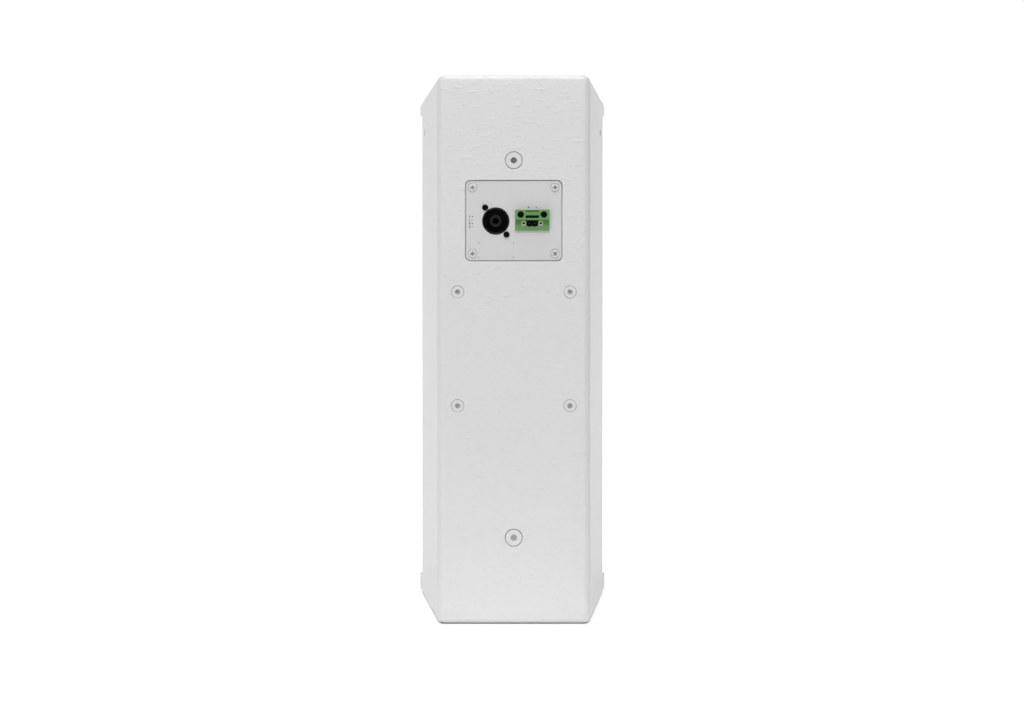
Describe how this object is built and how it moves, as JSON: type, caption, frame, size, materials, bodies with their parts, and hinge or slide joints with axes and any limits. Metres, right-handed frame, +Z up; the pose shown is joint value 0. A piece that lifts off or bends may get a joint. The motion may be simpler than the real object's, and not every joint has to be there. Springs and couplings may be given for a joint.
{
  "type": "line array speaker",
  "caption": "White column loudspeaker with a tapered wooden cabinet, perforated front grille, countersunk rear rigging points and a recessed rear terminal plate.",
  "frame": {"origin": "middle of the cabinet's bounding box, on the surface that it stands on", "axes": "+Z up along the column, +Y out of the rear panel, -Y out of the front grille, +X to the right seen from the front"},
  "size_m": [0.1836, 0.194, 0.4884],
  "materials": {
    "white_painted_wood": "white textured paint on plywood",
    "black_stained_wood": "black stained plywood",
    "white_painted_steel": "white powder coat",
    "acoustic_foam": "open-cell grey foam",
    "grey_painted_metal": "fine light-grey powder coat",
    "black_plastic": "satin moulded plastic",
    "black_steel": "black oxide",
    "green_plastic": "satin moulded plastic",
    "plated_steel": "bright zinc plating",
    "ferrite": "ground ferrite",
    "spider_cloth": "resin-dipped cloth",
    "copper_winding": "enamelled copper wire",
    "paper_cone": "pressed black pulp",
    "surround_rubber": "soft moulded rubber",
    "circuit_board": "solder mask",
    "capacitor_sleeve": "shrink sleeve",
    "diaphragm_metal": "bright formed foil"
  },
  "bodies": {
    "cabinet": {"bottom_panel": "white_painted_wood", "bracket_backing_plate": "plated_steel", "bracket_screw_1": "white_painted_steel", "bracket_screw_2": "white_painted_steel", "bracket_screw_3": "white_painted_steel", "bracket_screw_4": "white_painted_steel", "compression_driver": "black_steel", "crossover_board": "circuit_board", "crossover_capacitor": "capacitor_sleeve", "crossover_inductor": "copper_winding", "front_baffle": "black_stained_wood", "front_grille": "white_painted_steel", "grille_foam": "acoustic_foam", "grille_screw_1": "white_painted_steel", "grille_screw_2": "white_painted_steel", "grille_screw_3": "white_painted_steel", "grille_screw_4": "white_painted_steel", "header_insert_1": "plated_steel", "header_insert_2": "plated_steel", "header_pin_1": "plated_steel", "header_pin_2": "plated_steel", "header_screw_1": "black_steel", "header_screw_2": "black_steel", "left_side_panel": "white_painted_wood", "link_header_housing": "green_plastic", "lower_woofer_basket": "black_steel", "lower_woofer_front_plate": "plated_steel", "lower_woofer_magnet": "ferrite", "lower_woofer_spider": "spider_cloth", "lower_woofer_surround": "surround_rubber", "lower_woofer_yoke": "plated_steel", "plate_screw_1": "grey_painted_metal", "plate_screw_2": "grey_painted_metal", "plate_screw_3": "grey_painted_metal", "plate_screw_4": "grey_painted_metal", "rear_panel": "white_painted_wood", "rigging_anchor_bottom": "plated_steel", "rigging_anchor_top": "plated_steel", "rigging_screw_bottom": "white_painted_steel", "rigging_screw_top": "white_painted_steel", "right_side_panel": "white_painted_wood", "socket_screw_1": "black_steel", "socket_screw_2": "black_steel", "speaker_socket_core": "black_plastic", "speaker_socket_shell": "black_plastic", "terminal_plate": "grey_painted_metal", "top_panel": "white_painted_wood", "upper_woofer_basket": "black_steel", "upper_woofer_front_plate": "plated_steel", "upper_woofer_magnet": "ferrite", "upper_woofer_spider": "spider_cloth", "upper_woofer_surround": "surround_rubber", "upper_woofer_yoke": "plated_steel", "waveguide": "black_plastic"},
    "upper_cone": {"upper_woofer_cone": "paper_cone", "upper_woofer_voice_coil": "copper_winding"},
    "lower_cone": {"lower_woofer_cone": "paper_cone", "lower_woofer_voice_coil": "copper_winding"},
    "hf_dome": {"hf_diaphragm": "diaphragm_metal"}
  },
  "joints": [
    {"name": "upper_cone_travel", "type": "slide", "parent": "cabinet", "child": "upper_cone", "axis": [0, -1, 0], "range_m": [-0.004, 0.004], "stiffness_N_per_m": 1600, "deforming": ["upper_woofer_surround", "upper_woofer_spider"]},
    {"name": "lower_cone_travel", "type": "slide", "parent": "cabinet", "child": "lower_cone", "axis": [0, -1, 0], "range_m": [-0.004, 0.004], "stiffness_N_per_m": 1600, "deforming": ["lower_woofer_surround", "lower_woofer_spider"]},
    {"name": "hf_dome_travel", "type": "slide", "parent": "cabinet", "child": "hf_dome", "axis": [0, -1, 0], "range_m": [-0.0003, 0.0003], "stiffness_N_per_m": 400}
  ]
}
